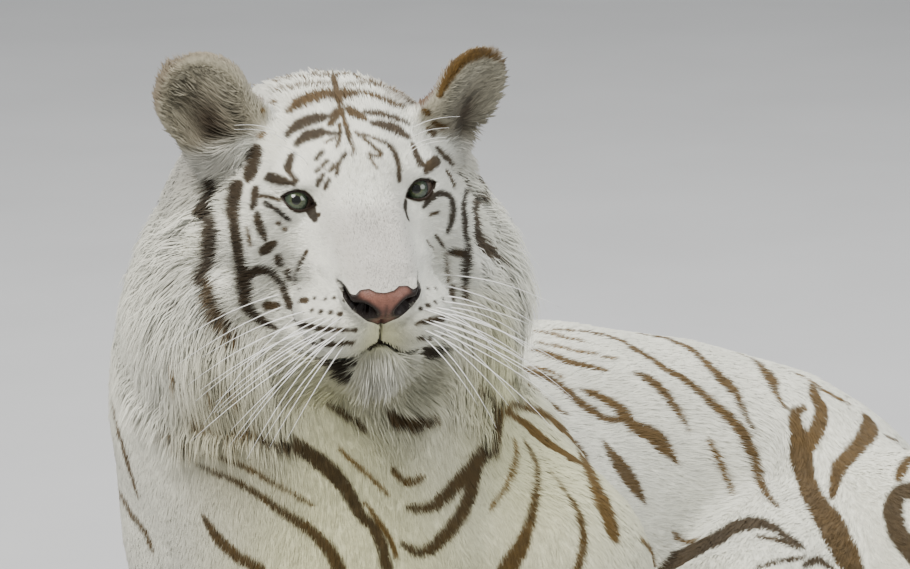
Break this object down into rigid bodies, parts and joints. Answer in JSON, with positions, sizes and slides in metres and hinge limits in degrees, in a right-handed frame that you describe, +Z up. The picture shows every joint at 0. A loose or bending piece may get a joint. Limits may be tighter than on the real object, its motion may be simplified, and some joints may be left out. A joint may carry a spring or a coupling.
{
  "type": "white tiger",
  "caption": "Life-size still model of a white tiger lying on its chest with its hips rolled over, head raised and both hind legs out to one side.",
  "frame": {"origin": "on the floor under the middle of the whole animal's box", "axes": "+Z up, -Y the way the face looks, +X towards the hips and the tail, which is the animal's left"},
  "size_m": [1.4152, 1.1672, 0.8412],
  "materials": {
    "coat": "white fur with brown stripes",
    "nose_skin": "soft matt bare skin",
    "eye": "wet gloss"
  },
  "bodies": {
    "root": {"ear_left": "coat", "ear_right": "coat", "lower_jaw": "coat", "muzzle": "coat", "head": "coat", "neck": "coat", "chest": "coat", "loin": "coat", "hindquarters": "coat", "upper_arm_left": "coat", "upper_arm_right": "coat", "forearm_left": "coat", "forearm_right": "coat", "forepaw_left": "coat", "forepaw_right": "coat", "thigh_left": "coat", "thigh_right": "coat", "shin_left": "coat", "shin_right": "coat", "hind_paw_left": "coat", "hind_paw_right": "coat", "tail_base": "coat", "tail_middle": "coat", "tail_tip": "coat", "nose": "nose_skin", "eye_left": "eye", "eye_right": "eye"}
  },
  "joints": []
}
